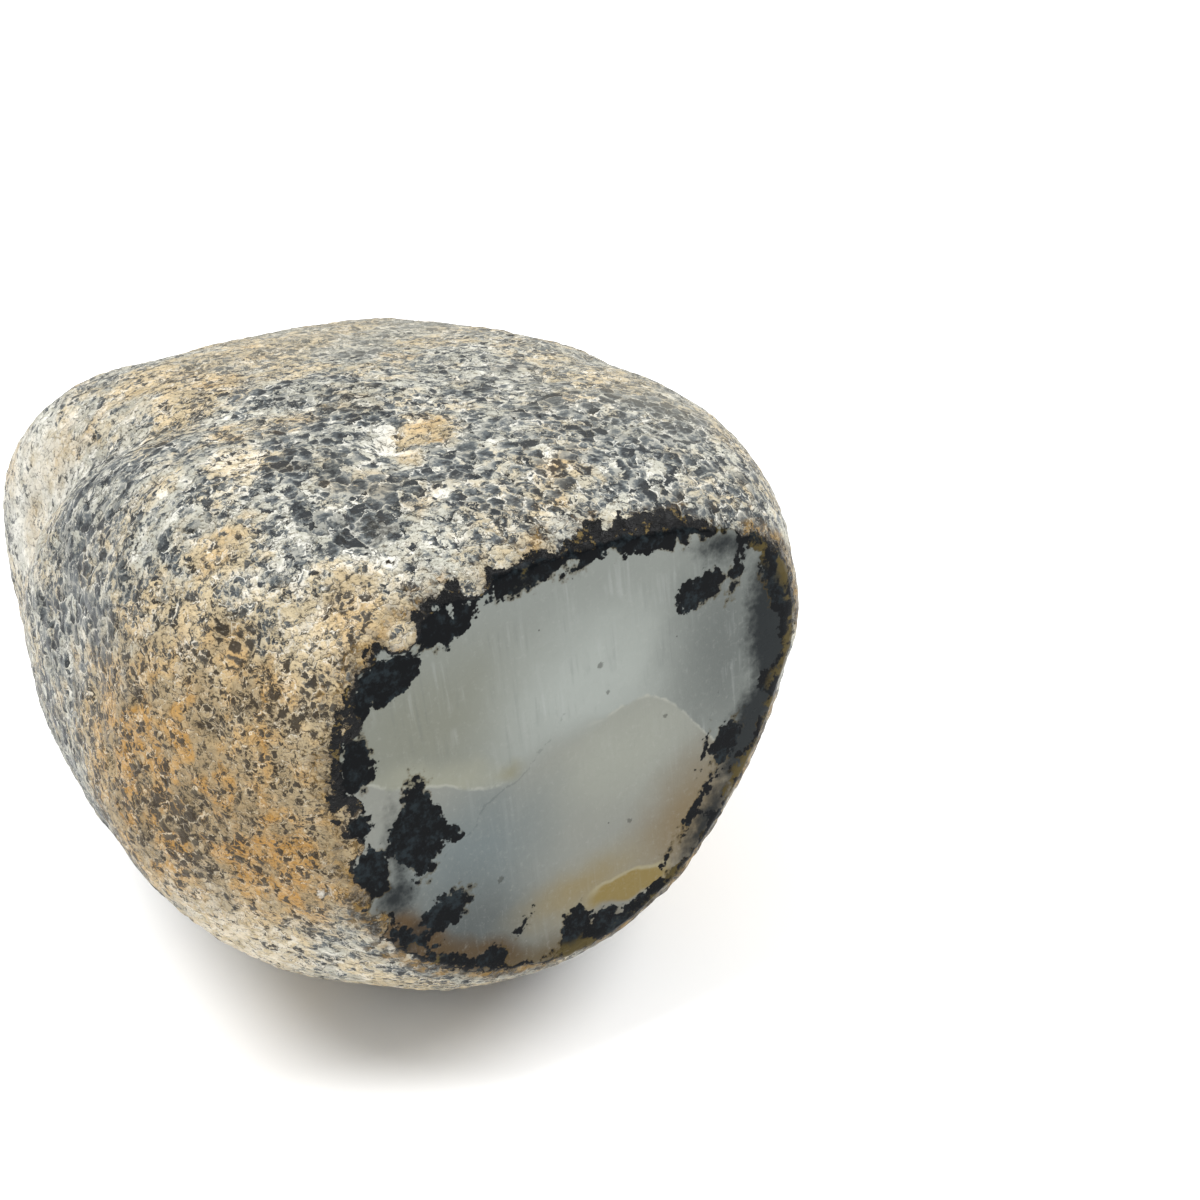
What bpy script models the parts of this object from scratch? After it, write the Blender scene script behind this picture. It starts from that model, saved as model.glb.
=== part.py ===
"""A water-worn agate cobble with one end sawn off and ground flat.

The cobble is a single stone: granular rind all round, and a flat ground face at the front
that shows the banded stone inside. It rests on a small worn flat under its middle.
Blender units are metres, +Z is up, and the ground face looks along -Y.
"""

from math import asin, cos, exp, radians, sin

import bmesh
import bpy
from mathutils import Vector, noise

MM = 0.001

# The cobble's worn sides: how far round each one faces from the ground face, turning to the right,
# how far up it faces, both in degrees, and its distance in mm from the middle of the stone
WORN_SIDES = {
    "top": (0, 90, 18),
    "underside": (0, -90, 24.5),
    "upper front": (0, 45, 28.5),
    "front left corner": (-50, 0, 29),
    "left flank": (-95, 5, 25),
    "upper left flank": (-90, 40, 28),
    "back left lobe": (-128, 12, 32),
    "upper back left": (-145, 42, 29.5),
    "back": (180, 0, 36),
    "top of the back": (165, 60, 27),
    "back right corner": (135, 0, 33),
    "right flank": (100, 42, 27),
    "upper right end": (70, 30, 31),
    "right end": (65, 0, 32),
    "lower right end": (45, -20, 29),
    "under the right": (35, -48, 29.5),
    "under the front": (-25, -45, 29),
    "under the left": (-95, -44, 24.5),
    "under the back": (180, -45, 30),
    "under the back right": (110, -40, 26),
}
FLATNESS = 7.0  # a larger number gives flatter sides with tighter curves between them

# Where the saw took the end off and where the stone wore flat underneath, in mm from its middle
GROUND_FACE_DISTANCE = 25.0
REST_SPOT_DISTANCE = 23.2

# The worn edge of the ground face, in mm: how wide it is, how far it sinks and how far it draws in
RIM_WIDTH = 0.7
RIM_DEPTH = 0.25
RIM_DRAW = 0.1

# Swellings and hollows: where the middle of each one is, in degrees round from the front and up
# from level, its half width along and across and the turn of its long way, in degrees, and its
# height in mm
SWELLINGS = {
    "left shoulder": dict(around=-98, up=34, along=24, across=9, turned=55, height=0.4),
    "groove behind it": dict(around=-113, up=26, along=34, across=8, turned=58, height=-2.6),
    "back left lobe": dict(around=-134, up=13, along=26, across=17, turned=65, height=2.8),
    "dent beside the ground face": dict(around=34, up=-12, along=12, across=8, turned=90, height=-0.5),
    "chip on top": dict(around=-23, up=53, along=6, across=4, turned=100, height=-0.7),
    "hollow on the front left": dict(around=-44, up=20, along=5, across=5, turned=0, height=-0.4),
}

# The slow unevenness that the river left
WAVES = {15.0: 0.5, 8.0: 0.4, 4.5: 0.2}  # wavelength: height, both in mm

# The mesh
ICOSPHERE_LEVEL = 3
CUTS_PER_EDGE = 4
SNAP_TO_CUT = 0.35  # a vertex nearer than this to a cut, in mm, goes onto it
SLIDE_STEPS = 20  # how often such a vertex is moved along the surface


def direction(around, up):
    """The way from the middle of the stone, given in degrees round from the front and up."""
    a, e = radians(around), radians(up)
    return Vector((sin(a) * cos(e), -cos(a) * cos(e), sin(e)))


def swelling_height(way, around, up, along, across, turned, height):
    """How far one swelling lifts the surface in a given direction, in mm."""
    middle = direction(around, up)
    if way.dot(middle) <= 0:
        return 0.0
    level = Vector((0, 0, 1)).cross(middle).normalized()
    upward = middle.cross(level)
    x, y = asin(way.dot(level)), asin(way.dot(upward))
    t = radians(turned)
    u, v = x * cos(t) + y * sin(t), y * cos(t) - x * sin(t)
    return height * exp(-((u / radians(along)) ** 2) - (v / radians(across)) ** 2)


def unevenness(point):
    """The slow waves of the surface at a point in mm."""
    return sum(height * noise.noise(point / length) for length, height in WAVES.items())


def surface_point(way):
    """The point of the cobble's surface in a given direction, in mm from its middle."""
    reach = 0.0
    for around, up, distance in WORN_SIDES.values():
        reach += max(0.0, way.dot(direction(around, up)) / distance) ** FLATNESS
    radius = reach ** (-1 / FLATNESS)
    radius += sum(swelling_height(way, **swelling) for swelling in SWELLINGS.values())
    radius += unevenness(way * radius)
    return way * radius


def rim_point(way, distance, outward):
    """The surface point beside a given direction that lies on a flat cut."""
    for _ in range(SLIDE_STEPS):
        point = surface_point(way)
        point += outward * (distance - point.dot(outward))
        way = point.normalized()
    return point


def add_cobble(bm, cuts):
    """The whole cobble, with vertices that come near a cut moved along the surface onto it."""
    bmesh.ops.create_icosphere(bm, subdivisions=ICOSPHERE_LEVEL, radius=1.0)
    bmesh.ops.subdivide_edges(bm, edges=bm.edges[:], cuts=CUTS_PER_EDGE, use_grid_fill=True)
    for vert in bm.verts:
        way = vert.co.normalized()
        point = surface_point(way)
        for distance, outward in cuts:
            if abs(point.dot(outward) - distance) < SNAP_TO_CUT:
                point = rim_point(way, distance, outward)
        vert.co = point * MM


def cut_flat(bm, distance, outward):
    """Saws off what lies past a plane, closes the cut with one face and returns that face."""
    bmesh.ops.bisect_plane(
        bm,
        geom=bm.verts[:] + bm.edges[:] + bm.faces[:],
        dist=0.01 * MM,
        plane_co=outward * distance * MM,
        plane_no=outward,
        clear_outer=True,
    )
    rim = [edge for edge in bm.edges if edge.is_boundary]
    return bmesh.ops.contextual_create(bm, geom=rim)["faces"][0]


def round_rim(bm, face, outward):
    """Wears the edge of a cut face: a ring inside it stays flat and the edge itself sinks."""
    ring = bmesh.ops.inset_region(bm, faces=[face], thickness=RIM_WIDTH * MM)["faces"]
    rim = list({vert for side in ring for vert in side.verts} - set(face.verts))
    bmesh.ops.translate(bm, verts=rim, vec=-outward * RIM_DEPTH * MM)
    middle = face.calc_center_median()
    for vert in rim:
        vert.co += (middle - vert.co).normalized() * RIM_DRAW * MM


def stand_on_floor(bm):
    """Moves the stone so that the middle of its box is over the origin and it rests at Z = 0."""
    low = Vector([min(v.co[k] for v in bm.verts) for k in range(3)])
    high = Vector([max(v.co[k] for v in bm.verts) for k in range(3)])
    middle = (low + high) / 2
    bmesh.ops.translate(bm, verts=bm.verts[:], vec=-Vector((middle.x, middle.y, low.z)))


def stone_material():
    material = bpy.data.materials.new("agate_rind")
    material.use_nodes = True
    shader = material.node_tree.nodes["Principled BSDF"]
    shader.inputs["Base Color"].default_value = (0.28, 0.25, 0.21, 1.0)
    shader.inputs["Roughness"].default_value = 0.5
    shader.inputs["Metallic"].default_value = 0.0
    return material


def build_stone():
    down = Vector((0, 0, -1))
    forward = Vector((0, -1, 0))
    bm = bmesh.new()
    add_cobble(bm, [(REST_SPOT_DISTANCE, down), (GROUND_FACE_DISTANCE, forward)])
    cut_flat(bm, REST_SPOT_DISTANCE, down)
    face = cut_flat(bm, GROUND_FACE_DISTANCE, forward)
    round_rim(bm, face, forward)
    bmesh.ops.triangulate(bm, faces=bm.faces[:])
    stand_on_floor(bm)
    bmesh.ops.recalc_face_normals(bm, faces=bm.faces[:])
    mesh = bpy.data.meshes.new("agate_cobble")
    bm.to_mesh(mesh)
    bm.free()
    mesh.shade_smooth()
    mesh.set_sharp_from_angle(angle=radians(30))
    mesh.materials.append(stone_material())
    stone = bpy.data.objects.new("agate_cobble", mesh)
    bpy.context.scene.collection.objects.link(stone)


def main():
    for old in list(bpy.data.objects):
        bpy.data.objects.remove(old, do_unlink=True)
    build_stone()


main()
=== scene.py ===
from math import cos, radians, sin
from types import SimpleNamespace

import bmesh
import bpy
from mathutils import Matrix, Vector, kdtree, noise


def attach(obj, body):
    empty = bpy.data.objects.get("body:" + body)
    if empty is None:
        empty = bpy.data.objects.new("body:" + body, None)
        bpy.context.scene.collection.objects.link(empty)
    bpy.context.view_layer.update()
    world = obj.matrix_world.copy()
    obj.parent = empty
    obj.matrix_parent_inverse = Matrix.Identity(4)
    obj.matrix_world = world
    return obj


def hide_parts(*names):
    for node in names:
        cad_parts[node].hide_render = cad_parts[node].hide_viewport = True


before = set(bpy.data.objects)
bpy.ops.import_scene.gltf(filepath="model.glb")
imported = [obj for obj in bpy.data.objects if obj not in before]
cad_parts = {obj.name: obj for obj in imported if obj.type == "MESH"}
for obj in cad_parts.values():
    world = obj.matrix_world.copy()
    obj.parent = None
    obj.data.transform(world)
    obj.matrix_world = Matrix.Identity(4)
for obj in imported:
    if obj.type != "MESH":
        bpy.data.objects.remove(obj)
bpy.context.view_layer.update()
mm = 0.001


# Shader sockets as values: + - * / and the methods below add the nodes

class Wire:
    def __init__(self, graph, socket):
        self.graph = graph
        self.socket = socket

    def maths(self, operation, *others):
        inputs = dict(enumerate((self, *others)))
        return self.graph.node("ShaderNodeMath", {"operation": operation}, inputs)

    def __add__(self, other):
        return self.maths("ADD", other)

    def __radd__(self, other):
        return self.maths("ADD", other)

    def __sub__(self, other):
        return self.maths("SUBTRACT", other)

    def __rsub__(self, other):
        return self.graph.node("ShaderNodeMath", {"operation": "SUBTRACT"}, {0: other, 1: self})

    def __mul__(self, other):
        return self.maths("MULTIPLY", other)

    def __rmul__(self, other):
        return self.maths("MULTIPLY", other)

    def __truediv__(self, other):
        return self.maths("DIVIDE", other)

    def least(self, other):
        return self.maths("MINIMUM", other)

    def most(self, other):
        return self.maths("MAXIMUM", other)

    def size(self):
        return self.maths("ABSOLUTE")

    def between(self, low, high, start=0.0, end=1.0):
        # a smooth step from start at low to end at high
        inputs = {"Value": self, "From Min": low, "From Max": high, "To Min": start, "To Max": end}
        return self.graph.node("ShaderNodeMapRange", {"interpolation_type": "SMOOTHSTEP"}, inputs)

    def vector(self, operation, other=None, output=0):
        inputs = {0: self}
        if operation == "SCALE":
            inputs["Scale"] = other
        elif other is not None:
            inputs[1] = other
        return self.graph.node("ShaderNodeVectorMath", {"operation": operation}, inputs, output)

    def centred(self):
        # a colour whose channels run from 0 to 1, as a vector round 0
        return self.vector("SUBTRACT", (0.5, 0.5, 0.5))

    def split(self):
        first = self.graph.node("ShaderNodeSeparateXYZ", {}, {0: self}, "X")
        return first, first.output("Y"), first.output("Z")

    def output(self, name):
        # another output of the same node
        return Wire(self.graph, self.socket.node.outputs[name])


class Graph:
    def __init__(self, owner):
        # owner is a new material or world
        owner.use_nodes = True
        self.owner = owner
        self.tree = owner.node_tree
        self.tree.nodes.clear()

    def node(self, kind, settings, inputs, output=0):
        made = self.tree.nodes.new(kind)
        for name, value in settings.items():
            if name == "stops":
                self.setStops(made.color_ramp, value)
            elif name == "points":
                self.setPoints(made.mapping, value)
            else:
                setattr(made, name, value)
        for name, value in inputs.items():
            if isinstance(value, Wire):
                self.tree.links.new(value.socket, made.inputs[name])
            else:
                made.inputs[name].default_value = value
        return Wire(self, made.outputs[output])

    def finish(self, shader, kind="ShaderNodeOutputMaterial"):
        output = self.tree.nodes.new(kind)
        self.tree.links.new(shader.socket, output.inputs["Surface"])
        return self.owner

    def setStops(self, ramp, stops):
        while len(ramp.elements) < len(stops):
            ramp.elements.new(1.0)
        for element, (place, colour) in zip(ramp.elements, stops):
            element.position = place
            element.color = colour

    def setPoints(self, mapping, points):
        curve = mapping.curves[0]
        while len(curve.points) < len(points):
            curve.points.new(1.0, 1.0)
        for point, place in zip(curve.points, points):
            point.location = place
        mapping.update()

    def noise(self, place, scale, detail=2.0, roughness=0.5, output="Fac"):
        inputs = {"Vector": place, "Scale": scale, "Detail": detail, "Roughness": roughness}
        return self.node("ShaderNodeTexNoise", {}, inputs, output)

    def cells(self, place, scale, feature="F1"):
        inputs = {"Vector": place, "Scale": scale}
        return self.node("ShaderNodeTexVoronoi", {"feature": feature}, inputs, "Distance")

    def mix(self, share, first, second, blend="MIX"):
        settings = {"data_type": "RGBA", "blend_type": blend}
        return self.node("ShaderNodeMix", settings, {0: share, 6: first, 7: second}, 2)

    def blend(self, share, first, second):
        return self.node("ShaderNodeMix", {"data_type": "FLOAT"}, {0: share, 2: first, 3: second}, 0)

    def joined(self, x, y, z):
        return self.node("ShaderNodeCombineXYZ", {}, {0: x, 1: y, 2: z})


def tint(code, light=1.0):
    # the surface's own colour for one that is seen in this much light, such as "#6f716f"
    channels = [int(code[k:k + 2], 16) / 255 for k in (1, 3, 5)]
    channels = [c / 12.92 if c <= 0.04045 else ((c + 0.055) / 1.055) ** 2.4 for c in channels]
    return [c / light for c in channels] + [1.0]


def painter(look):
    # makes tints for a piece whose colours are given as they look in the studio
    def paint(code):
        return tint(code, look["light"])

    return paint


def placeInMm(graph):
    # where a point of the stone is
    coordinates = graph.node("ShaderNodeTexCoord", {}, {}, "Object")
    return coordinates.vector("SCALE", 1 / mm)


# The stone's surface: a fine copy of the CAD solid with the rind's pits and scales. Lengths
# are in mm, and a pit's size is a part of its cell.

stoneRelief = {
    "seed": 7,
    "cutsPerEdge": 4,
    "smoothing": 10,
    "gridWidth": 0.8,
    "rimFade": 0.7,
    # how far off a flat face, its rim, another vertex or a cut still counts as on it
    "offFlat": 0.003,
    "offRim": 0.01,
    "merge": 0.002,
    "offCut": 0.0001,
    "facing": 0.99,
    "bend": dict(length=1.1, reach=0.5),
    "swell": dict(length=5.0, height=0.10),
    "grit": dict(length=0.75, height=0.05),
    "scales": dict(length=1.35, height=0.09, steepness=2.2, seam=0.6),
    "pits": dict(length=3.2, depth=0.30, share=0.22, size=0.42, dice=7.3),
    "hollows": {
        "white chip on top": dict(at=(-7.7, -16.2, 40.4), across=1.5, depth=0.55),
        "chip beside it": dict(at=(-5.8, -16.4, 40.8), across=2.2, depth=0.30),
        "pale patch": dict(at=(-16.7, -13.8, 40.5), across=2.4, depth=0.25),
        "dark cluster": dict(at=(-13.8, -23.9, 38.9), across=1.8, depth=0.40),
        "round brown spot": dict(at=(-21.4, -23.2, 33.8), across=1.6, depth=0.35),
        "red brown spot": dict(at=(-21.7, -24.7, 19.6), across=1.1, depth=0.25),
        "small dark hole": dict(at=(-19.2, -27.9, 18.8), across=0.8, depth=0.40),
        "pin hole by the top": dict(at=(-8.0, -23.2, 39.6), across=0.6, depth=0.35),
        "pin hole by the rim": dict(at=(-13.0, -26.5, 37.8), across=0.6, depth=0.35),
        "white chips": dict(at=(-20.5, -27.4, 26.9), across=1.3, depth=0.25),
    },
}


def flatFaces(bm, way, level):
    # the triangles of a flat face that looks along way, level mm out from the origin
    found = []
    for face in bm.faces:
        reach = max(abs(vert.co.dot(way) / mm - level) for vert in face.verts)
        if reach < stoneRelief["offFlat"] and face.normal.dot(way) > stoneRelief["facing"]:
            found.append(face)
    return found


def openEdges(bm, way, level):
    edges = []
    for edge in bm.edges:
        off = abs(edge.verts[0].co.dot(way) / mm - level)
        if edge.is_boundary and off < stoneRelief["offRim"]:
            edges.append(edge)
    return edges


def reliefHeight(spot):
    # how far the rind stands out at a spot in mm, in mm
    shape = stoneRelief
    swell, grit, bend = shape["swell"], shape["grit"], shape["bend"]
    flake, pits = shape["scales"], shape["pits"]
    height = swell["height"] * noise.fractal(spot / swell["length"], 1.0, 2.0, 2)
    height += grit["height"] * noise.noise(spot / grit["length"])
    bent = spot + noise.noise_vector(spot / bend["length"]) * bend["reach"]
    near, nextNear = noise.voronoi(bent / flake["length"])[0][:2]
    height += flake["height"] * (min(1.0, (nextNear - near) * flake["steepness"]) - flake["seam"])
    distances, cells = noise.voronoi(bent / pits["length"])
    if noise.cell(cells[0] * pits["dice"]) < pits["share"]:
        inside = max(0.0, 1 - distances[0] / pits["size"])
        height -= pits["depth"] * inside * inside * (3 - 2 * inside)
    for hollow in shape["hollows"].values():
        away = (spot - Vector(hollow["at"])).length / hollow["across"]
        if away < 1:
            height -= hollow["depth"] * (1 - away * away) ** 2
    return height


def rimFinder(bm, way, level):
    # finds the nearest vertex of the rim of a flat face that has been taken out
    rim = kdtree.KDTree(len(bm.verts))
    for edge in openEdges(bm, way, level):
        for vert in edge.verts:
            rim.insert(vert.co, vert.index)
    rim.balance()
    return rim


def raiseRind(bm, rim, rimDistance):
    # gives the rind its relief, which fades towards the ground face and stays above the floor
    bm.normal_update()
    moves = []
    for vert in bm.verts:
        away = rim.find(vert.co)[2] / mm
        vert[rimDistance] = -away
        fade = min(1.0, away / stoneRelief["rimFade"]) * (not vert.is_boundary)
        moves.append(vert.normal * reliefHeight(vert.co / mm) * fade * mm)
    for vert, move in zip(bm.verts, moves):
        vert.co += move
        vert.co.z = max(vert.co.z, 0.0)


def makeStone(node):
    # unseeded, the vector noise would differ with the clock
    noise.seed_set(stoneRelief["seed"])
    down = Vector((0, 0, -1))
    forward = Vector((0, -1, 0))
    bm = bmesh.new()
    bm.from_mesh(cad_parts[node].data)
    bmesh.ops.remove_doubles(bm, verts=bm.verts[:], dist=stoneRelief["merge"] * mm)
    restLevel = max(vert.co.dot(down) for vert in bm.verts) / mm
    groundLevel = max(vert.co.dot(forward) for vert in bm.verts) / mm
    flats = [(down, restLevel), (forward, groundLevel)]

    # the rind: smooth, and fine enough for its relief
    for way, level in flats:
        bmesh.ops.delete(bm, geom=flatFaces(bm, way, level), context="FACES")
    cuts = stoneRelief["cutsPerEdge"]
    bmesh.ops.subdivide_edges(bm, edges=bm.edges[:], cuts=cuts, use_grid_fill=True)
    free = [vert for vert in bm.verts if not vert.is_boundary]
    axes = dict(use_axis_x=True, use_axis_y=True, use_axis_z=True)
    for _ in range(stoneRelief["smoothing"]):
        bmesh.ops.smooth_vert(bm, verts=free, factor=0.5, **axes)
    rimDistance = bm.verts.layers.float.new("rimDistance")
    rim = rimFinder(bm, forward, groundLevel)
    raiseRind(bm, rim, rimDistance)

    # the flat faces again
    for way, level in flats:
        bmesh.ops.contextual_create(bm, geom=openEdges(bm, way, level))
    bm.faces.ensure_lookup_table()
    ground = max(bm.faces, key=lambda face: face.calc_area())
    for vert in {vert for face in cutIntoGrid(bm, ground) for vert in face.verts}:
        vert[rimDistance] = rim.find(vert.co)[2] / mm
    bmesh.ops.recalc_face_normals(bm, faces=bm.faces[:])
    mesh = bpy.data.meshes.new("agateNodule")
    bm.to_mesh(mesh)
    bm.free()
    mesh.shade_smooth()
    stone = bpy.data.objects.new("agateNodule", mesh)
    bpy.context.scene.collection.objects.link(stone)
    print("stone:", len(mesh.polygons), "faces")
    return stone


def cutIntoGrid(bm, ground):
    # vertices all over the ground face, so that the distance from its rim is known there
    pieces = [ground]
    box = [vert.co.copy() for vert in ground.verts]
    for axis in (0, 2):
        line = Vector((axis == 0, 0, axis == 2))
        low = min(corner[axis] for corner in box)
        high = max(corner[axis] for corner in box)
        count = int((high - low) / mm / stoneRelief["gridWidth"])
        for k in range(1, count):
            edges = {edge for face in pieces for edge in face.edges}
            verts = {vert for face in pieces for vert in face.verts}
            level = line * (low + (high - low) * k / count)
            geom = pieces + list(edges) + list(verts)
            off = stoneRelief["offCut"] * mm
            cut = bmesh.ops.bisect_plane(bm, geom=geom, dist=off, plane_co=level, plane_no=line)
            pieces = [item for item in cut["geom"] if isinstance(item, bmesh.types.BMFace)]
    return pieces


# The rind: slate coloured scales on a pale and tan ground. Colours are as they look in the
# studio, which makes them as much brighter as "light" says, and places are in mm.

# what a fresh chip adds: it has neither scales nor ochre
bareChip = dict(scales=-3.0, ochre=-1.0, white=1.0, dark=-0.2)

rindLook = {
    "light": 1.25,
    "scaleSize": 0.95,
    "smallScaleSize": 0.5,
    "scaleColours": ("#323639", "#646a6c", "#a2a29a"),
    "grey": "#c6c5b8",
    "cream": "#dac9a6",
    "white": "#efede3",
    "pale": "#ecdcbe",
    "shadow": "#736a57",
    "ochre": "#bc9650",
    "olive": "#aea287",
    "worn": "#a9a698",
    "brownScale": "#4c412f",
    "stain": "#fdeacd",
    "hollowShade": "#a9aba8",
    # the painted shade on the scales' lower edges
    "paintedEdgeShade": "#262722",
    "streak": "#e4dfcf",
    "grain": "#33312b",
    "hole": "#2b2418",
    "rimOchre": "#9c7a38",
    "rimBrown": "#3d301c",
    "blackSkin": "#090a0b",
    "tanSkin": "#6f5e36",
    "specular": 0.15,
    "roughness": (0.34, 0.64),
    # how far the pattern of the scales and the borders of the zones wander, in mm
    "bend": 1.25,
    "zoneBend": 5.0,
    # the way that a scale's lit upper edge faces, and how far off the small scales are taken
    "upward": (-0.25, 0.3, 0.92),
    "smallShift": (9.0, 4.0, 7.0),
    "streakStretch": (2.6, 3.4, 6.0),
    # how much each pattern counts in the height of the relief
    "relief": dict(facet=0.36, fall=0.15, streaks=0.06, flakes=0.07),
    # soft round zones and smaller marks, and what each adds to the cover of scales, to the tan,
    # ochre, white and dark, and to how worn the rind is
    "zones": {
        "upper middle": dict(at=(-10, -18, 40), across=13, scales=0.20, warm=-0.3),
        "top right": dict(at=(6, -22, 40), across=13, scales=0.28, warm=-0.1),
        "left slate": dict(at=(-26, -8, 32), across=9, scales=0.22, warm=-0.1),
        "left centre": dict(at=(-20, -25, 32), across=11, scales=-0.10, warm=0.65),
        "beside the rim": dict(at=(-19, -28, 24), across=8, scales=0.14, warm=0.7, ochre=0.1),
        "brown below": dict(at=(-19.3, -27, 30.2), across=5, scales=0.32, warm=0.2, ochre=0.2),
        "centre": dict(at=(-15.5, -25.5, 36.5), across=8, scales=-0.15, white=0.04),
        "above the ground face": dict(at=(-9, -27, 38), across=7, scales=-0.06, white=0.01),
        "lower left": dict(at=(-24.5, -20, 23), across=14.5, warm=0.7, ochre=0.9),
        # paler with fewer scales: partly the rind's grey cream there, partly painted light for light thrown
        # up from the floor
        "low grey": dict(at=(-22, -20, 11), across=10, scales=-0.24, warm=0.3, ochre=-0.2, white=0.10),
        "left of the rim": dict(at=(-20, -27, 20), across=8, scales=-0.06, warm=0.4, ochre=0.25, white=0.03),
        "upper left": dict(at=(-14, 2, 40), across=9, scales=-0.12, warm=0.4, ochre=0.15),
        "top back": dict(at=(0, 14, 39), across=22, warm=0.3, ochre=0.1, worn=0.45),
        "top end": dict(at=(17, -12, 38), across=17, worn=0.35, warm=0.2),
        # paler with fewer scales: partly its cream colour, partly painted light for the bright haze along
        # that side
        "left lobe": dict(at=(-24, 8, 31), across=12, scales=-0.45, warm=0.1, white=0.20, worn=0.15),
        # paler with fewer scales: partly the rind's own tan there, partly painted light for light thrown up
        # from the floor
        "under side": dict(at=(-12, -14, 8), across=18, scales=-0.30, warm=0.6, white=0.05),
        "right side": dict(at=(24, -4, 26), across=15, scales=0.25, warm=-0.2),
        "right below": dict(at=(18, -12, 8), across=13, scales=-0.30, warm=0.8, ochre=0.3),
        "back": dict(at=(4, 26, 24), across=14, scales=-0.25, warm=0.6, ochre=0.35),
        "back right": dict(at=(20, 18, 16), across=13, scales=0.1, warm=0.3, ochre=0.5),
        "back left": dict(at=(-18, 18, 14), across=13, scales=0.28, warm=-0.2),
    },
    "marks": {
        "beside the chip": dict(at=(-5.0, -16.0, 40.8), across=3.2, scales=-0.5, warm=0.8, ochre=0.25,
                                dark=-0.08),
        "under the chip": dict(at=(-7.6, -18.6, 40.2), across=1.6, scales=-1.0, warm=1.0, ochre=0.3),
        "chip": dict(bareChip, at=(-7.2, -14.4, 40.7), across=0.9),
        "chip's middle": dict(bareChip, at=(-7.7, -15.7, 40.5), across=0.95),
        "chip's end": dict(bareChip, at=(-8.2, -17.1, 40.3), across=0.9),
        "pale patch": dict(at=(-16.7, -13.8, 40.5), across=3.2, scales=-0.35, warm=0.9, white=0.12),
        "brown spot": dict(at=(-21.4, -23.2, 33.8), across=2.2, scales=0.8, warm=0.6, ochre=0.4,
                           white=-0.2, dark=0.08),
        "red brown spot": dict(at=(-21.7, -24.7, 19.6), across=1.2, scales=0.9, warm=0.5, ochre=1.0),
        "dark cluster": dict(at=(-13.8, -23.9, 38.9), across=2.6, scales=0.9, warm=-0.6, dark=0.10),
        "dark crevice": dict(at=(-12.4, -24.3, 38.9), across=1.6, scales=0.9, warm=-0.6, dark=0.14),
    },
    "pinHoles": {
        "by the top": dict(at=(-8.0, -23.2, 39.6), across=0.55),
        "by the rim": dict(at=(-13.0, -26.5, 37.8), across=0.5),
        "below": dict(at=(-19.2, -27.9, 18.8), across=0.6),
    },
}


def scales(graph, spot, size):
    # for one size of scales: how far the edge is, the tilt of each, its upper side, which painted light and
    # shade follow, how far down it curves and three dice
    edge = graph.cells(spot, 1 / size, "DISTANCE_TO_EDGE")
    cell = graph.cells(spot, 1 / size)
    fromMiddle = spot.vector("SUBTRACT", cell.output("Position"))
    dice = cell.output("Color")
    facet = fromMiddle.vector("DOT_PRODUCT", dice.centred(), "Value")
    upward = [part / size for part in rindLook["upward"]]
    upper = fromMiddle.vector("DOT_PRODUCT", upward, "Value")
    return (edge, facet, upper, cell * cell, *dice.split())


def zoneSums(spot, zones, names):
    # the sum over the zones, for each of the named amounts, which fade outside a zone's middle
    middle = 0.25
    sums = dict.fromkeys(names, 0.0)
    for zone in zones.values():
        away = spot.vector("DISTANCE", zone["at"], "Value")
        share = away.between(zone["across"], zone["across"] * middle)
        for name in names:
            if zone.get(name):
                sums[name] = share.maths("MULTIPLY_ADD", zone[name], sums[name])
    return [sums[name] for name in names]


def rindPatterns(graph, spot):
    # the patterns that the rind's colour and relief are made of
    look = rindLook
    rind = SimpleNamespace()
    warp = graph.noise(spot, 1.1, 3.0, 0.65, "Color").centred()
    bent = spot.vector("ADD", warp.vector("SCALE", look["bend"]))
    rind.drift, driftTwo, rind.driftThree = graph.noise(spot, 0.17, 3.0, 0.6, "Color").split()
    wandering = spot.vector("ADD", warp.vector("SCALE", look["zoneBend"]))
    amounts = ("scales", "warm", "ochre", "white", "dark", "worn")
    zones = zoneSums(wandering, look["zones"], amounts)
    marks = zoneSums(bent, look["marks"], amounts)
    cover, warm, ochre, rind.white, rind.dark = [mark + zone for mark, zone in zip(marks[:5], zones)]
    rind.worn = zones[5]
    rind.cover = cover + rind.drift.between(0.34, 0.66, 0.38, 0.80)
    rind.warm = warm + driftTwo.between(0.38, 0.62, -0.15, 0.6)
    rind.ochre = (ochre + rind.driftThree.between(0.52, 0.68, 0.0, 0.4)).least(1.0).most(0.0)
    rind.swell = graph.noise(spot, 0.45, 2.0, 0.6)
    rind.streaks = graph.noise(spot.vector("MULTIPLY", look["streakStretch"]), 1.0, 4.0, 0.7)
    rind.flakes, rind.flakesTwo, rind.flakesThree = graph.noise(bent, 1.1, 4.0, 0.65, "Color").split()
    rind.bent = bent

    # two sizes of scales: small ones lie among the big ones, and more so on the tan ground
    big = scales(graph, bent, look["scaleSize"])
    small = scales(graph, bent.vector("ADD", look["smallShift"]), look["smallScaleSize"])
    pick = (rind.flakes + (0.58 - rind.cover) * 0.35 + rind.warm * 0.05).between(0.48, 0.54)
    both = [graph.blend(pick, *pair) for pair in zip(big, small)]
    rind.edge, rind.facet, rind.upper, rind.fall, rind.chance, rind.shade, rind.hue = both
    return rind


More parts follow.
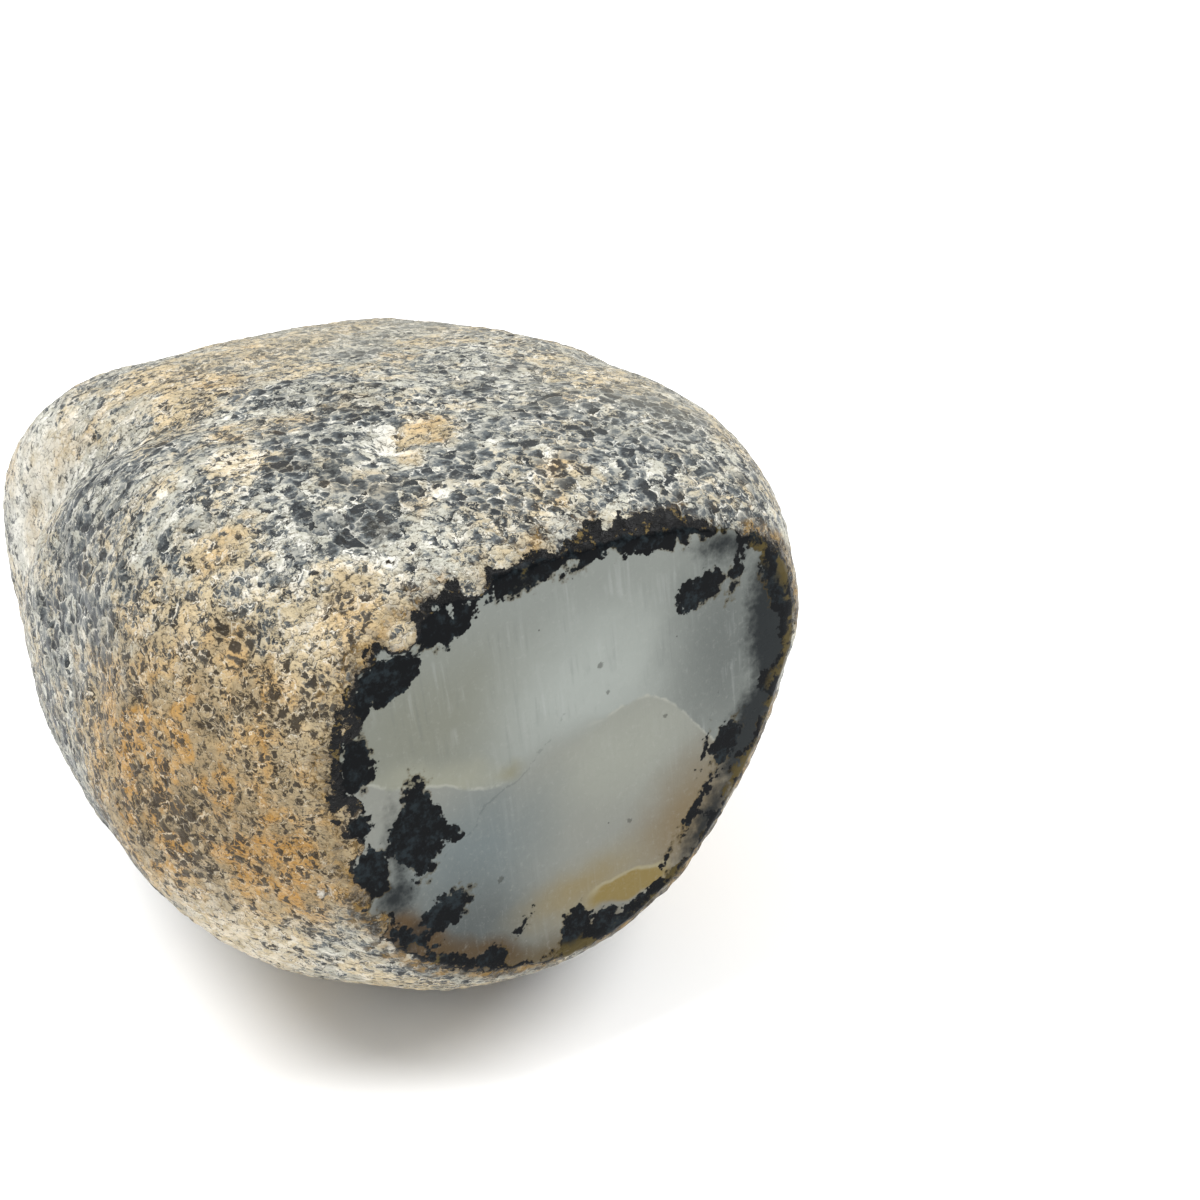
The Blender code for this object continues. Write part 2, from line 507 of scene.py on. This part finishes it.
def paleGround(graph, rind, paint):
    look = rindLook
    tan = (rind.warm + rind.hue * 0.3 - 0.15).between(0.1, 0.8)
    ground = graph.mix(tan, paint(look["grey"]), paint(look["cream"]))
    stained = graph.mix(rind.swell.between(0.42, 0.56), paint(look["olive"]), paint(look["ochre"]))
    ground = graph.mix(rind.ochre * (rind.hue * 0.5 + 0.65), ground, stained)
    ground = graph.mix(rind.streaks.between(0.49, 0.35) * 0.85, ground, paint(look["shadow"]))
    pale = (rind.flakesTwo + rind.hue * 0.12 + rind.white).between(0.57, 0.76)
    chalk = graph.mix(rind.warm * 0.6, paint(look["white"]), paint(look["pale"]))
    return graph.mix(pale * (1.0 - rind.ochre * 0.6), ground, chalk)


def withScales(graph, rind, paint, ground):
    # the slate coloured scales, brown where the ground is tan
    look = rindLook
    stops = list(zip((0.0, 0.5, 1.0), (paint(code) for code in look["scaleColours"])))
    core = rind.edge.between(0.03, 0.24)
    # painted light and shade: the slate is lighter towards each scale's upper side and on the side that its
    # tilt raises
    tone = rind.shade * 0.65 + rind.facet * 2.2 + rind.upper * 0.3
    tone = tone + (rind.streaks - 0.5) * 1.6 + 0.38 - core * 0.5
    slate = graph.node("ShaderNodeValToRGB", {"stops": stops}, {"Fac": tone}, "Color")
    brown = (rind.ochre * 0.7 + rind.warm * 0.5 + rind.hue * 0.3).between(0.25, 1.0) * 0.75
    slate = graph.mix(brown, slate, paint(look["brownScale"]))
    there = rind.cover - rind.chance * 0.8 - 0.1 + (rind.flakesThree - 0.5) * 2.4 + rind.facet
    there = there.between(-0.10, 0.12) * (rind.edge - rind.warm * 0.10).between(-0.08, 0.05)
    return graph.mix(there, ground, slate)


def withEdges(graph, rind, paint, colour):
    # painted highlights on the scales' upper edges and painted shade on their lower edges, pale streaks and
    # dark grain everywhere
    look = rindLook
    rim = rind.edge.between(0.14, 0.02) * rind.flakesTwo.between(0.40, 0.58)
    # painted highlight on each scale's upper edge, then painted shade on its lower edge
    lit = (rind.upper * rim).between(0.05, 0.35) * 0.7
    colour = graph.mix(lit, colour, paint(look["white"]))
    shaded = (rind.upper * rim).between(-0.05, -0.30) * 0.65
    colour = graph.mix(shaded, colour, paint(look["paintedEdgeShade"]))
    colour = graph.mix(rind.streaks.between(0.57, 0.80) * 0.5, colour, paint(look["streak"]))
    grain = (rind.streaks - rind.dark).between(0.44, 0.24) * 0.65
    colour = graph.mix(grain, colour, paint(look["grain"]))
    colour = graph.mix(rind.ochre * 0.85, colour, tint(look["stain"]), "MULTIPLY")
    # painted shade: darker where the swell noise is low, as if in hollows
    low = rind.swell.between(0.62, 0.36) * 0.35
    colour = graph.mix(low, colour, tint(look["hollowShade"]), "MULTIPLY")
    worn = rind.worn * rind.drift.between(0.30, 0.62, 0.25, 1.0)
    return graph.mix(worn, colour, paint(look["worn"]))


def withPinHoles(graph, rind, paint, colour):
    # each has a pale ring
    look = rindLook
    for hole in look["pinHoles"].values():
        away = rind.bent.vector("DISTANCE", hole["at"], "Value") / hole["across"]
        colour = graph.mix(away.between(1.1, 0.7) * 0.8, colour, paint(look["white"]))
        colour = graph.mix(away.between(0.55, 0.3), colour, paint(look["hole"]))
    return colour


def rindParts(graph, spot, rimDistance, skin):
    # skin says how far the black skin reaches out over the rind, in mm
    look = rindLook
    paint = painter(look)
    rind = rindPatterns(graph, spot)
    colour = withScales(graph, rind, paint, paleGround(graph, rind, paint))
    colour = withEdges(graph, rind, paint, colour)
    colour = withPinHoles(graph, rind, paint, colour)

    # olive and brown close to the ground face, and its black skin where that folds over the rim
    near = (rimDistance + (rind.flakesTwo - 0.5) * 5.0).between(-2.4, -0.5)
    near = near * rind.driftThree.between(0.38, 0.52)
    brown = graph.mix(rind.flakes.between(0.42, 0.56), paint(look["rimOchre"]), paint(look["rimBrown"]))
    colour = graph.mix(near * 0.75, colour, brown)
    lobes = graph.cells(spot, 1.6) * 0.8 + (rind.flakes - 0.5) * 3.0 - 0.4
    covered = (rimDistance + skin - lobes).between(-0.12, 0.12)
    tan = (rind.flakesThree + rind.streaks * 0.3).between(0.72, 0.80)
    black = graph.mix(tan, paint(look["blackSkin"]), paint(look["tanSkin"]))
    colour = graph.mix(covered, colour, black)

    relief = look["relief"]
    height = rind.facet * relief["facet"] - rind.fall * relief["fall"]
    height = height + rind.streaks * relief["streaks"] + rind.flakes * relief["flakes"]
    roughness = (rind.streaks + rind.hue * 0.3).between(0.4, 0.9, *look["roughness"])
    return colour, roughness, height


# The ground face: pale banded chalcedony with black moss plumes. Places are x and z in mm, and
# a turn is in degrees to the left.

agateLook = {
    "light": 1.70,
    "upper": "#9a9f99",
    "lower": "#9b9d95",
    "plume": "#0c0f12",
    "plumeLight": "#2b353a",
    "brown": "#574616",
    "olive": "#5d512d",
    "ochreRim": "#bdb89c",
    "veilLine": "#c6c7ba",
    "sawPale": "#c9cdca",
    "sawDark": "#6d7473",
    # the colour of the painted sparkle, fine pale flecks
    "paintedSparkle": "#c8cac3",
    "darkGrain": "#34332f",
    "speck": "#44453f",
    "crackLine": "#5f6663",
    "hazyPlume": "#22272a",
    "specular": 0.05,
    "roughness": (0.21, 0.35),
    # how far the soft colours wander, in mm
    "bend": 2.2,
    "relief": dict(saw=0.008, fine=0.006),
    # the lower edge of the upper veil, from left to right
    "veilEdge": ((-18, 27.3), (-16, 25.5), (-12, 24.2), (-7.9, 23.0), (-6.4, 23.6), (-4.4, 24.6),
                 (-0.8, 25.2), (2.3, 25.9), (3.8, 25.3), (6.8, 22.3), (10.5, 18.0)),
    "veilWidth": (-18.0, 12.0),
    "veilHeight": (16.0, 30.0),
    # soft colours: which side of the veil's edge, where, half sizes, turn, colour, strength, and
    # how far in from its edge, as a part of its size, a colour is at full strength
    "clouds": {
        "cream": dict(veil=1, at=(-13, 28), size=(9, 6), turn=10, colour="#8f9184", share=0.9),
        "bright middle": dict(veil=1, at=(-1.5, 28), size=(8, 5.5), turn=15, colour="#b6bcb6", share=0.9),
        "cream line": dict(veil=1, at=(-12, 24.6), size=(6, 1.4), turn=-14, colour="#a7a897", share=0.8),
        "lilac": dict(veil=1, at=(8.6, 28), size=(5.5, 9), turn=0, colour="#767b78", share=0.95),
        "lit lower": dict(veil=0, at=(1.0, 22.5), size=(7, 4.5), turn=10, colour="#a9aca1", share=0.9),
        "blue": dict(veil=0, at=(-10, 18.5), size=(7, 6), turn=20, colour="#7d8788", share=0.95),
        "grey low": dict(veil=0, at=(-11, 13), size=(8, 5), turn=-15, colour="#5d6363", share=0.9),
        "lower right": dict(veil=0, at=(8, 18), size=(4, 6), turn=-30, colour="#8a8474", share=0.8),
        "peach right": dict(veil=0, at=(5.6, 15.8), size=(4.2, 5.6), turn=-35, colour="#8a7858", share=0.8),
        "peach low": dict(veil=0, at=(-2.2, 13.6), size=(5.5, 2.4), turn=12, colour="#9a8c68", share=0.9),
        "ochre": dict(veil=0, at=(1.4, 12.3), size=(3.1, 1.0), turn=6, colour="#96824a", share=0.9,
                      inner=-0.2),
        "brown corner": dict(veil=0, at=(-14.7, 14.4), size=(3.4, 1.9), turn=-38, colour="#614c31",
                             share=0.95, inner=-0.5),
        "brown low": dict(veil=0, at=(-10.2, 11.4), size=(5.0, 1.5), turn=-24, colour="#5d4b32",
                          share=0.9, inner=-0.5),
        "brown bottom": dict(veil=0, at=(-3.4, 9.4), size=(6.5, 1.9), turn=4, colour="#66573a", share=0.9),
        "gold grains": dict(veil=1, at=(-7.1, 23.9), size=(1.2, 0.7), turn=20, colour="#8c8358", share=0.5),
    },
    # how far the black skin reaches in over the face and out over the rind, and the rind over the
    # face, in mm
    "skin": {
        "top": dict(at=(2, -29, 37.5), across=8, inner=0.8, outer=1.7),
        "top left": dict(at=(-8, -29, 36), across=6.5, inner=0.2, outer=0.9),
        "upper left": dict(at=(-15, -29, 33.5), across=7, inner=-0.2, outer=0.8, reach=0.4),
        "left": dict(at=(-18, -29, 27), across=6, inner=-0.1, outer=1.0, reach=0.4),
        "left low": dict(at=(-17.5, -29, 20), across=5, inner=-0.2, outer=0.5, reach=0.4),
        "bottom left": dict(at=(-12, -29, 11), across=6, inner=0.1, outer=0.3),
        "first gap": dict(at=(-13.7, -29, 34.2), across=1.5, reach=2.0),
        "second gap": dict(at=(-9.1, -29, 36.2), across=1.3, reach=1.6),
        "third gap": dict(at=(-17.0, -29, 29.6), across=1.2, reach=1.1),
        "fourth gap": dict(at=(-17.3, -29, 24.6), across=1.3, reach=1.1),
        "fifth gap": dict(at=(-17.3, -29, 21.9), across=1.0, reach=0.9),
        "sixth gap": dict(at=(-15.6, -29, 16.6), across=1.4, reach=0.7),
        "bottom": dict(at=(1, -29, 9.5), across=7, inner=1.1, outer=0.2),
        "right low": dict(at=(9, -29, 17), across=6, inner=0.7, outer=0.4),
        "right": dict(at=(13, -29, 26), across=7, inner=1.0, outer=0.4),
        "right top": dict(at=(12.5, -29, 33), across=5, inner=1.2, outer=0.7),
    },
    # hazy plumes that lie a little below the surface
    "haze": {
        "beside the diamond": dict(at=(-14.8, 20.6), size=(0.7, 2.0), turn=0),
        "tail": dict(at=(-15.2, 17.7), size=(1.2, 1.1), turn=0),
        "upper right": dict(at=(8.3, 34.8), size=(1.8, 0.9), turn=-10),
        "right band upper": dict(at=(13.2, 28.0), size=(2.8, 6.4), turn=8),
        "right band lower": dict(at=(11.4, 21.4), size=(2.2, 4.8), turn=-30),
        "trail": dict(at=(-14.2, 14.3), size=(1.6, 0.7), turn=25),
        "right bottom": dict(at=(7.6, 15.3), size=(1.0, 3.6), turn=-32),
    },
    # crisp black plumes
    "plumes": {
        "upper left": dict(at=(-14.9, 32.0), size=(2.3, 1.5), turn=20),
        "upper left low": dict(at=(-16.9, 30.6), size=(1.1, 0.9), turn=24),
        "upper left next": dict(at=(-11.9, 34.4), size=(1.5, 1.2), turn=15),
        "along the edge": dict(at=(-10.4, 34.2), size=(1.8, 0.7), turn=46),
        "top": dict(at=(-5.6, 36.2), size=(3.1, 1.0), turn=15),
        "feather": dict(at=(-1.6, 36.0), size=(2.1, 0.3), turn=17),
        "left upper": dict(at=(-17.0, 27.2), size=(1.0, 2.1), turn=4),
        "left small": dict(at=(-17.1, 23.2), size=(0.8, 0.9), turn=0),
        "left big": dict(at=(-16.6, 20.0), size=(1.3, 1.9), turn=0),
        "diamond": dict(at=(-13.4, 21.7), size=(1.2, 3.6), turn=2),
        "diamond wide": dict(at=(-13.5, 21.5), size=(2.0, 2.2), turn=0),
        "diamond fingers": dict(at=(-11.7, 20.9), size=(1.3, 0.7), turn=-18),
        "lower": dict(at=(-11.9, 15.5), size=(1.9, 1.3), turn=28),
        "bottom left": dict(at=(-14.4, 14.5), size=(2.4, 0.6), turn=-39),
        "bottom left edge": dict(at=(-12.0, 11.9), size=(2.2, 0.6), turn=-32),
        "sliver": dict(at=(-6.6, 12.3), size=(0.9, 0.3), turn=60),
        "upper right": dict(at=(6.4, 32.1), size=(2.0, 1.1), turn=22),
        "narrow": dict(at=(9.1, 32.4), size=(0.5, 1.4), turn=-12),
        "right rim": dict(at=(12.4, 32.0), size=(1.2, 2.2), turn=22),
        "right": dict(at=(8.8, 20.6), size=(1.9, 1.0), turn=62),
        "hair": dict(at=(7.1, 20.6), size=(0.16, 1.3), turn=-12),
        "thin band": dict(at=(6.5, 16.4), size=(0.35, 3.2), turn=-36),
        "bottom one": dict(at=(-2.7, 10.5), size=(1.2, 1.8), turn=-10),
        "bottom two": dict(at=(-0.4, 10.0), size=(1.2, 1.5), turn=0),
        "bottom three": dict(at=(2.3, 10.3), size=(1.8, 1.1), turn=12),
        "bottom four": dict(at=(5.0, 11.6), size=(1.4, 0.9), turn=40),
        "bottom lump": dict(at=(-9.0, 10.8), size=(1.2, 0.9), turn=-13),
    },
    "specks": {
        "ring": dict(at=(-0.8, 29.0), size=(0.16, 0.24), turn=-30),
        "under the ring": dict(at=(-0.3, 27.0), size=(0.12, 0.12), turn=0),
        "on the veil": dict(at=(4.0, 24.1), size=(0.14, 0.12), turn=0),
        "low": dict(at=(1.4, 17.3), size=(0.24, 0.16), turn=-20),
        "in the blue": dict(at=(-8.1, 16.3), size=(0.18, 0.24), turn=-10),
    },
    "crack": dict(at=(-8.3, 22.1), size=(2.2, 0.04), turn=39),
}


def oval(spot, shape):
    # how far a point is outside an oval, in mm, and less than 0 inside it, at any depth
    wide, high = shape["size"]
    deep = 1000.0
    inputs = {"Vector": spot, "Location": (shape["at"][0], 0.0, shape["at"][1]),
              "Rotation": (0.0, -radians(shape["turn"]), 0.0), "Scale": (wide, deep, high)}
    within = spot.graph.node("ShaderNodeMapping", {"vector_type": "TEXTURE"}, inputs)
    narrow = min(wide, high)
    return within.vector("LENGTH", None, "Value").maths("MULTIPLY_ADD", narrow, -narrow)


def union(spot, shapes):
    # the same for the nearest of some ovals, none of which is as far off as the first number
    nearest = 100.0
    for shape in shapes.values():
        nearest = oval(spot, shape).least(nearest)
    return nearest


def agatePatterns(graph, spot):
    # the patterns of the ground face, and the veil: everything above its edge is a paler layer
    look = agateLook
    face = SimpleNamespace(spot=spot)
    face.x, _, face.z = spot.split()
    face.drift = graph.noise(spot, 0.35, 2.0, 0.5, "Color").centred()
    face.soft = spot.vector("ADD", face.drift.vector("SCALE", look["bend"]))
    face.wide = graph.noise(spot, 0.9, 3.0, 0.6)
    face.fine = graph.noise(spot, 2.4, 4.0, 0.7)
    face.saw = graph.noise(graph.joined(face.x * 2.3 + face.z * 0.25, 0.0, face.z * 0.16), 1.0, 2.0, 0.6)
    left, right = look["veilWidth"]
    low, high = look["veilHeight"]
    points = [((px - left) / (right - left), (pz - low) / (high - low)) for px, pz in look["veilEdge"]]
    across = (face.x - left) / (right - left)
    edge = graph.node("ShaderNodeFloatCurve", {"points": points}, {"Value": across})
    face.above = face.z - (edge * (high - low) + low + (face.wide - 0.5) * 0.7)
    face.faded = face.x.between(-8.4, -6.2) * face.x.between(0.6, -2.6)
    face.veil = (face.above / (face.faded * 1.3 + 0.16)).between(-1.0, 1.0)
    return face


def chalcedony(graph, face, paint):
    # the veil and what lies below it, with their soft colours
    look = agateLook
    colour = graph.mix(face.veil, paint(look["lower"]), paint(look["upper"]))
    for cloud in look["clouds"].values():
        side = face.veil if cloud["veil"] else 1.0 - face.veil
        away = oval(face.soft, cloud) / min(cloud["size"])
        share = away.between(0.3, cloud.get("inner", -0.9), 0.0, cloud["share"]) * side
        colour = graph.mix(share, colour, paint(cloud["colour"]))
    ochreEdge = oval(face.soft, look["clouds"]["ochre"]).size()
    ochreRim = ochreEdge.between(0.26, 0.0) * face.z.between(12.2, 13.2)
    colour = graph.mix(ochreRim * 0.55, colour, paint(look["ochreRim"]))
    line = face.above.size().between(0.2, 0.0) * face.wide.between(0.4, 0.6) * (1.0 - face.faded)
    return graph.mix(line * 0.5, colour, paint(look["veilLine"]))


def withFineMarks(graph, face, paint, colour):
    # saw marks, a painted sparkle of fine pale flecks and a fine dark grain that give the stone its depth,
    # specks and the crack
    look = agateLook
    saw, fine = face.saw, face.fine
    marked = face.drift.split()[0].between(-0.06, 0.08) * (face.veil * 0.7 + 0.3)
    colour = graph.mix(saw.between(0.5, 0.72) * marked * 0.22, colour, paint(look["sawPale"]))
    colour = graph.mix(saw.between(0.48, 0.3) * marked * 0.18, colour, paint(look["sawDark"]))
    # painted sparkle: fine pale flecks all over the face
    colour = graph.mix(fine.between(0.52, 0.78) * 0.2, colour, paint(look["paintedSparkle"]))
    grains = graph.cells(face.spot, 0.8)
    rare = grains.output("Color").split()[0].between(0.8, 0.82)
    colour = graph.mix(grains.between(0.07, 0.03) * rare * 0.7, colour, paint(look["darkGrain"]))
    near = union(face.spot, look["specks"]) + (fine - 0.5) * 0.5
    colour = graph.mix(near.between(0.06, -0.04) * 0.55, colour, paint(look["speck"]))
    crack = oval(face.soft, look["crack"]) + (fine - 0.5) * 0.6
    return graph.mix(crack.between(0.06, -0.02) * 0.3, colour, paint(look["crackLine"]))


def withPlumes(graph, face, paint, colour, rimDistance, skin):
    # plumes and the black skin, with lobed and feathery edges
    look = agateLook
    wide, fine = face.wide, face.fine
    lobes = graph.cells(face.spot, 1.9) * 0.6 + graph.cells(face.spot, 5.2) * 0.2
    ragged = lobes + (wide - 0.5) * 1.2 + (fine - 0.5) * 0.5 - 0.36
    driftX, driftY, driftZ = face.drift.split()
    skinEdge = rimDistance - skin * (driftX * 3.0 + 1.0)
    crisp = union(face.spot, look["plumes"]).least(skinEdge) + ragged
    hazy = union(face.spot, look["haze"]) + ragged * 0.9
    colour = graph.mix(hazy.between(0.9, -0.8) * 0.95, colour, paint(look["hazyPlume"]))
    fringe = crisp.between(0.26, 0.03) * (wide + driftY * 1.5).between(0.50, 0.64)
    colour = graph.mix(fringe * 0.5, colour, paint(look["brown"]))
    olive = wide * 0.6 + fine * 0.4 + driftZ + face.x * 0.008 - face.z * 0.004 + 0.1
    light = (fine + wide).between(0.95, 1.25) * 0.8
    ink = graph.mix(light, paint(look["plume"]), paint(look["plumeLight"]))
    ink = graph.mix(olive.between(0.58, 0.68) * rimDistance.between(1.3, 0.3), ink, paint(look["olive"]))
    return graph.mix(crisp.between(0.07, -0.07), colour, ink)


def agateParts(graph, spot, rimDistance, skin):
    # skin says how far the black skin reaches in over the ground face, in mm
    look = agateLook
    paint = painter(look)
    face = agatePatterns(graph, spot)
    colour = withFineMarks(graph, face, paint, chalcedony(graph, face, paint))
    colour = withPlumes(graph, face, paint, colour, rimDistance, skin)
    height = face.saw * look["relief"]["saw"] + face.fine * look["relief"]["fine"]
    roughness = face.wide.between(0.3, 0.7, *look["roughness"])
    return colour, roughness, height


# The whole stone: where the rind ends and the ground face begins, in mm, and its refraction

stoneLook = {
    "rimShift": 0.3,
    "rimBlend": 0.15,
    "rimRagged": 1.6,
    "refraction": 1.54,
}


def stoneMaterial():
    look = stoneLook
    graph = Graph(bpy.data.materials.new("agateStone"))
    spot = placeInMm(graph)
    rimDistance = graph.node("ShaderNodeAttribute", {"attribute_name": "rimDistance"}, {}, "Fac")
    inner, outer, reach = zoneSums(spot, agateLook["skin"], ("inner", "outer", "reach"))
    ragged = (graph.noise(spot, 0.9, 4.0, 0.6) - 0.5) * look["rimRagged"]
    rimDistance = rimDistance + ragged - reach
    share = (rimDistance + look["rimShift"]).between(-look["rimBlend"], look["rimBlend"])

    shaders = []
    for parts, piece, skin in ((rindParts, rindLook, outer), (agateParts, agateLook, inner)):
        colour, roughness, height = parts(graph, spot, rimDistance, skin)
        inputs = {"Strength": 1.0, "Distance": mm, "Height": height}
        bump = graph.node("ShaderNodeBump", {}, inputs, "Normal")
        inputs = {"Base Color": colour, "Roughness": roughness, "Normal": bump,
                  "IOR": look["refraction"], "Specular IOR Level": piece["specular"]}
        shaders.append(graph.node("ShaderNodeBsdfPrincipled", {}, inputs, "BSDF"))
    both = graph.node("ShaderNodeMixShader", {}, {0: share, 1: shaders[0], 2: shaders[1]}, "Shader")
    print("material:", len(graph.tree.nodes), "nodes")
    return graph.finish(both)


# Floor, light and camera

studio = {
    "floorSize": 3.0,
    "floorColour": "#fafafa",
    "floorRoughness": 0.9,
    "sky": 0.66,
    "backdrop": 1.0,
    "camera": dict(around=-33, up=25, distance=0.130, lookAt=(0.0154, -0.0041, 0.0194), angle=40),
    "lamps": {
        "left": dict(around=-120, up=65, angle=35, power=2.95),
        "right": dict(around=60, up=50, angle=35, power=2.2),
    },
}


def outward(around, up):
    a, e = radians(around), radians(up)
    return Vector((sin(a) * cos(e), -cos(a) * cos(e), sin(e)))


def makeStudio():
    scene = bpy.context.scene
    bm = bmesh.new()
    bmesh.ops.create_grid(bm, x_segments=1, y_segments=1, size=studio["floorSize"] / 2)
    mesh = bpy.data.meshes.new("floor")
    bm.to_mesh(mesh)
    bm.free()
    graph = Graph(bpy.data.materials.new("floorPaint"))
    inputs = {"Base Color": tint(studio["floorColour"]), "Roughness": studio["floorRoughness"]}
    paint = graph.node("ShaderNodeBsdfPrincipled", {}, inputs, "BSDF")
    mesh.materials.append(graph.finish(paint))
    floor = bpy.data.objects.new("floor", mesh)
    scene.collection.objects.link(floor)

    # the sky lights the stone with one strength, and shows behind it as white as the floor
    graph = Graph(bpy.data.worlds.new("studioSky"))
    seen = graph.node("ShaderNodeLightPath", {}, {}, "Is Camera Ray")
    strength = seen * (studio["backdrop"] - studio["sky"]) + studio["sky"]
    inputs = {"Color": (1.0, 1.0, 1.0, 1.0), "Strength": strength}
    sky = graph.node("ShaderNodeBackground", {}, inputs, "Background")
    scene.world = graph.finish(sky, "ShaderNodeOutputWorld")
    scene.view_settings.view_transform = "Standard"

    for name, lamp in studio["lamps"].items():
        light = bpy.data.lights.new(name, "SUN")
        light.energy = lamp["power"]
        light.angle = radians(lamp["angle"])
        sun = bpy.data.objects.new(name, light)
        way = outward(lamp["around"], lamp["up"])
        sun.location = way
        sun.rotation_euler = way.to_track_quat("Z", "Y").to_euler()
        scene.collection.objects.link(sun)

    view = studio["camera"]
    lens = bpy.data.cameras.new("camera")
    lens.lens_unit = "FOV"
    lens.angle = radians(view["angle"])
    lens.clip_start = 0.005
    camera = bpy.data.objects.new("camera", lens)
    way = outward(view["around"], view["up"])
    camera.location = Vector(view["lookAt"]) + way * view["distance"]
    camera.rotation_euler = way.to_track_quat("Z", "Y").to_euler()
    scene.collection.objects.link(camera)
    scene.camera = camera
    print("studio: floor, sky, lamps and camera")


stone = makeStone("agate_cobble")
stone.data.materials.append(stoneMaterial())
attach(stone, "root")
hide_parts("agate_cobble")
makeStudio()
